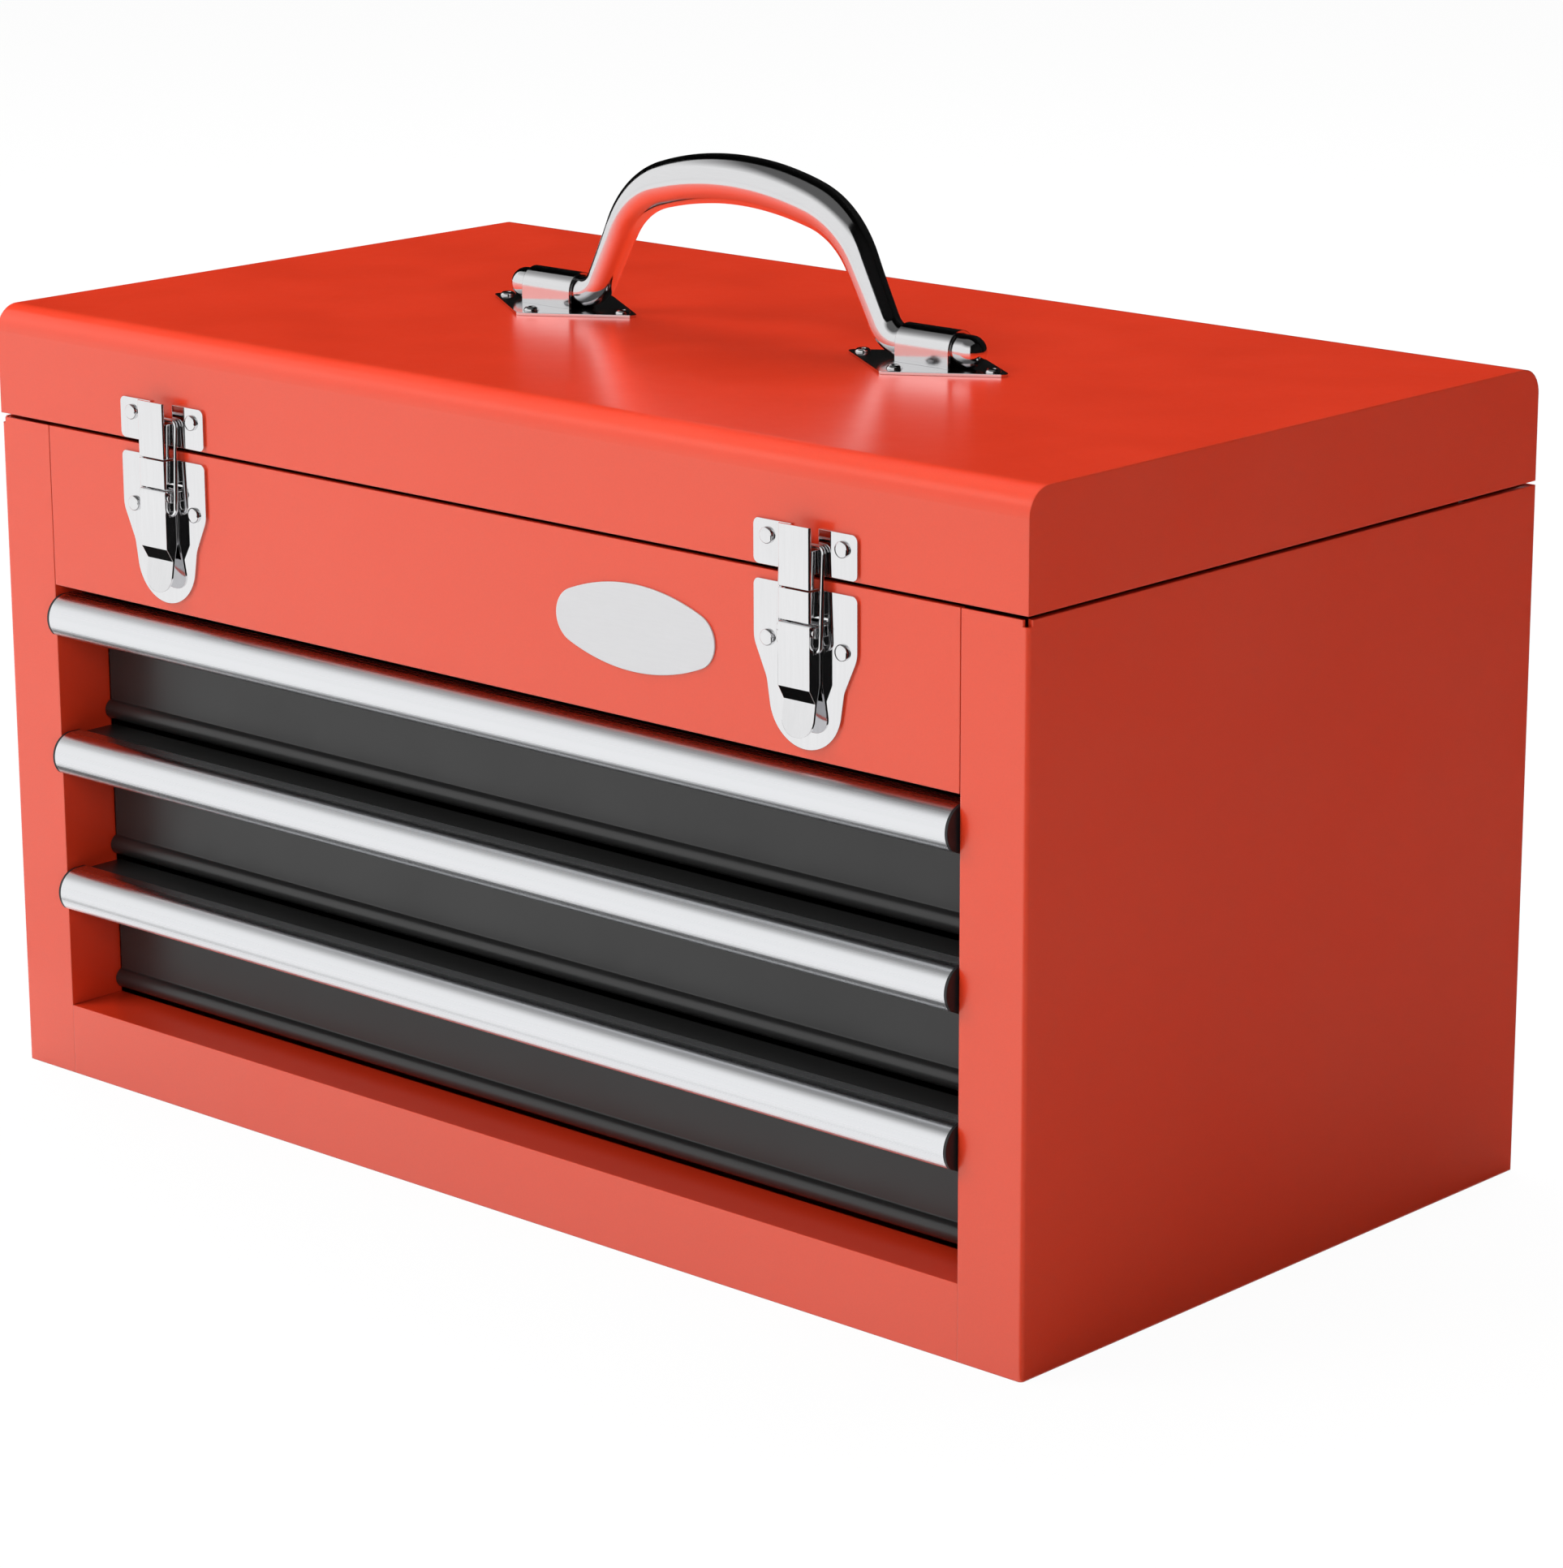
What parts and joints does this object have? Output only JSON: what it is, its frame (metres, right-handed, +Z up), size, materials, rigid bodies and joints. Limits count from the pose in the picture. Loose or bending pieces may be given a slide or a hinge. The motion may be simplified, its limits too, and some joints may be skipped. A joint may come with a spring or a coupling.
{
  "type": "tool box with drawers",
  "caption": "Portable steel tool box with a hinged lid over a till, drawers on telescopic slides, draw latches and a folding carrying handle.",
  "frame": {"origin": "centre of the base on the surface it stands on", "axes": "+X along the width to the right seen from the front, -Y towards the drawer side, +Z up"},
  "size_m": [0.45, 0.2585, 0.3234],
  "materials": {
    "red_paint": "gloss powder coat",
    "drawer_paint": "satin powder coat",
    "pan_paint": "satin powder coat",
    "pull_aluminium": "satin extrusion",
    "cap_plastic": "moulded",
    "latch_chrome": "bright",
    "handle_chrome": "bright",
    "zinc_steel": "zinc plated",
    "badge_face": "satin, bare"
  },
  "bodies": {
    "cabinet": {"side_panel_left": "red_paint", "side_panel_right": "red_paint", "back_panel": "red_paint", "base_pan": "red_paint", "upper_front_panel": "red_paint", "till_floor": "red_paint", "slide_posts": "zinc_steel", "slide_channels": "zinc_steel", "hinge_leaf_body": "zinc_steel", "hinge_pin": "zinc_steel", "latch_base_left": "latch_chrome", "latch_base_right": "latch_chrome", "latch_rivets": "latch_chrome", "latch_pins": "latch_chrome", "badge_plate": "badge_face", "stay_studs": "zinc_steel"},
    "lid": {"lid_shell": "red_paint", "keeper_left": "latch_chrome", "keeper_right": "latch_chrome", "keeper_rivets": "latch_chrome", "handle_bracket_left": "handle_chrome", "handle_bracket_right": "handle_chrome", "bracket_rivets": "handle_chrome", "hinge_leaf_lid": "zinc_steel", "stay_pivots": "zinc_steel"},
    "handle": {"carry_handle": "handle_chrome"},
    "drawer_1": {"drawer_pan_1": "pan_paint", "drawer_front_1": "drawer_paint", "drawer_pull_1": "pull_aluminium", "pull_caps_1": "cap_plastic", "slide_runners_1": "zinc_steel"},
    "slide_middle_1": {"slide_middles_1": "zinc_steel"},
    "drawer_2": {"drawer_pan_2": "pan_paint", "drawer_front_2": "drawer_paint", "drawer_pull_2": "pull_aluminium", "pull_caps_2": "cap_plastic", "slide_runners_2": "zinc_steel"},
    "slide_middle_2": {"slide_middles_2": "zinc_steel"},
    "drawer_3": {"drawer_pan_3": "pan_paint", "drawer_front_3": "drawer_paint", "drawer_pull_3": "pull_aluminium", "pull_caps_3": "cap_plastic", "slide_runners_3": "zinc_steel"},
    "slide_middle_3": {"slide_middles_3": "zinc_steel"},
    "lever_left": {"lever_left": "latch_chrome"},
    "bushing_left": {"bail_bushing_left": "latch_chrome"},
    "bail_left": {"bail_left": "latch_chrome"},
    "stay_left": {"stay_arm_left": "zinc_steel"},
    "lever_right": {"lever_right": "latch_chrome"},
    "bushing_right": {"bail_bushing_right": "latch_chrome"},
    "bail_right": {"bail_right": "latch_chrome"},
    "stay_right": {"stay_arm_right": "zinc_steel"}
  },
  "joints": [
    {"name": "lid_hinge", "type": "hinge", "parent": "cabinet", "child": "lid", "pos_m": [0, 0.1265, 0.22805], "axis": [-1, 0, 0], "range_deg": [0, 95]},
    {"name": "handle_swing", "type": "hinge", "parent": "lid", "child": "handle", "pos_m": [0, 0, 0.2713], "axis": [1, 0, 0], "range_deg": [-88, 88]},
    {"name": "drawer_1_slide", "type": "slide", "parent": "cabinet", "child": "drawer_1", "axis": [0, -1, 0], "range_m": [0, 0.15]},
    {"name": "middle_1_slide", "type": "slide", "parent": "cabinet", "child": "slide_middle_1", "axis": [0, -1, 0], "range_m": [0, 0.075]},
    {"name": "drawer_2_slide", "type": "slide", "parent": "cabinet", "child": "drawer_2", "axis": [0, -1, 0], "range_m": [0, 0.15]},
    {"name": "middle_2_slide", "type": "slide", "parent": "cabinet", "child": "slide_middle_2", "axis": [0, -1, 0], "range_m": [0, 0.075]},
    {"name": "drawer_3_slide", "type": "slide", "parent": "cabinet", "child": "drawer_3", "axis": [0, -1, 0], "range_m": [0, 0.15]},
    {"name": "middle_3_slide", "type": "slide", "parent": "cabinet", "child": "slide_middle_3", "axis": [0, -1, 0], "range_m": [0, 0.075]},
    {"name": "lever_left_swing", "type": "hinge", "parent": "cabinet", "child": "lever_left", "pos_m": [-0.1415, -0.12775, 0.2124], "axis": [-1, 0, 0], "range_deg": [0, 104]},
    {"name": "bushing_left_turn", "type": "hinge", "parent": "lever_left", "child": "bushing_left", "pos_m": [-0.1415, -0.1272, 0.2068], "axis": [-1, 0, 0], "range_deg": [-95, 0]},
    {"name": "bail_left_swing", "type": "hinge", "parent": "bushing_left", "child": "bail_left", "pos_m": [-0.1415, -0.1272, 0.2068], "axis": [1, 0, 0], "range_deg": [0, 60]},
    {"name": "stay_left_turn", "type": "hinge", "parent": "lid", "child": "stay_left", "pos_m": [-0.2209, 0.09599, 0.24305], "axis": [-1, 0, 0], "range_deg": [-48, 0]},
    {"name": "lever_right_swing", "type": "hinge", "parent": "cabinet", "child": "lever_right", "pos_m": [0.1415, -0.12775, 0.2124], "axis": [-1, 0, 0], "range_deg": [0, 104]},
    {"name": "bushing_right_turn", "type": "hinge", "parent": "lever_right", "child": "bushing_right", "pos_m": [0.1415, -0.1272, 0.2068], "axis": [-1, 0, 0], "range_deg": [-95, 0]},
    {"name": "bail_right_swing", "type": "hinge", "parent": "bushing_right", "child": "bail_right", "pos_m": [0.1415, -0.1272, 0.2068], "axis": [1, 0, 0], "range_deg": [0, 60]},
    {"name": "stay_right_turn", "type": "hinge", "parent": "lid", "child": "stay_right", "pos_m": [0.2209, 0.09599, 0.24305], "axis": [-1, 0, 0], "range_deg": [-48, 0]}
  ],
  "couplings": [
    {"joint": "middle_1_slide", "follows": "drawer_1_slide", "ratio": 0.5},
    {"joint": "middle_2_slide", "follows": "drawer_2_slide", "ratio": 0.5},
    {"joint": "middle_3_slide", "follows": "drawer_3_slide", "ratio": 0.5},
    {"joint": "bushing_left_turn", "follows": "lever_left_swing", "ratio": -0.905},
    {"joint": "stay_left_turn", "follows": "lid_hinge", "ratio": -0.5},
    {"joint": "bushing_right_turn", "follows": "lever_right_swing", "ratio": -0.905},
    {"joint": "stay_right_turn", "follows": "lid_hinge", "ratio": -0.5}
  ]
}
